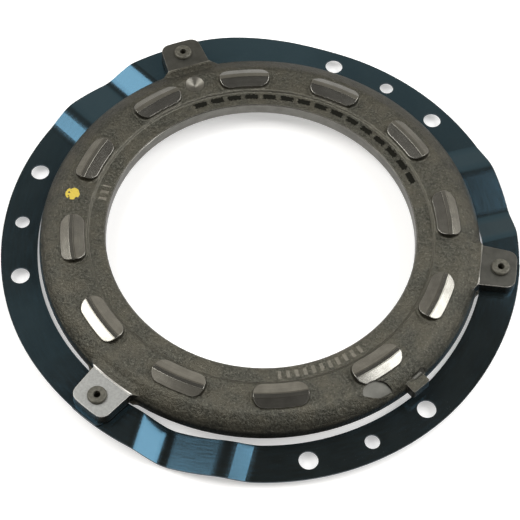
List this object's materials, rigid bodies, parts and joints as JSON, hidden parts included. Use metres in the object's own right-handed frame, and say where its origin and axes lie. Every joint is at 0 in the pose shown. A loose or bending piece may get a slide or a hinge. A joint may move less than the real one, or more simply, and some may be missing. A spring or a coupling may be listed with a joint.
{
  "type": "clutch pressure plate",
  "caption": "Cast-iron clutch pressure plate with turned fulcrum pads, hung by riveted lugs on a ring of blued leaf springs with bolt and dowel holes.",
  "frame": {"origin": "centre of the bolt circle, in the plane on which the bolted middles of the leaf springs lie", "axes": "+Z from the friction face to the fulcrum pads, along the clutch's axis; +X through the first lug and its rivet"},
  "size_m": [0.2688, 0.2688, 0.0195],
  "materials": {
    "cast_iron": "sand-cast, with turned and milled faces",
    "spring_steel": "blued, semi-gloss",
    "rivet_steel": "dull, oiled"
  },
  "bodies": {
    "leaf_ring": {"leaf_spring_1": "spring_steel", "leaf_spring_2": "spring_steel", "leaf_spring_3": "spring_steel"},
    "plate": {"pressure_plate": "cast_iron", "rivet_1": "rivet_steel", "rivet_2": "rivet_steel", "rivet_3": "rivet_steel"}
  },
  "joints": [
    {"name": "plate_lift", "type": "slide", "parent": "leaf_ring", "child": "plate", "axis": [0, 0, 1], "range_m": [-0.0025, 0.0018], "stiffness_N_per_m": 80000, "deforming": ["leaf_spring_1", "leaf_spring_2", "leaf_spring_3"]}
  ]
}
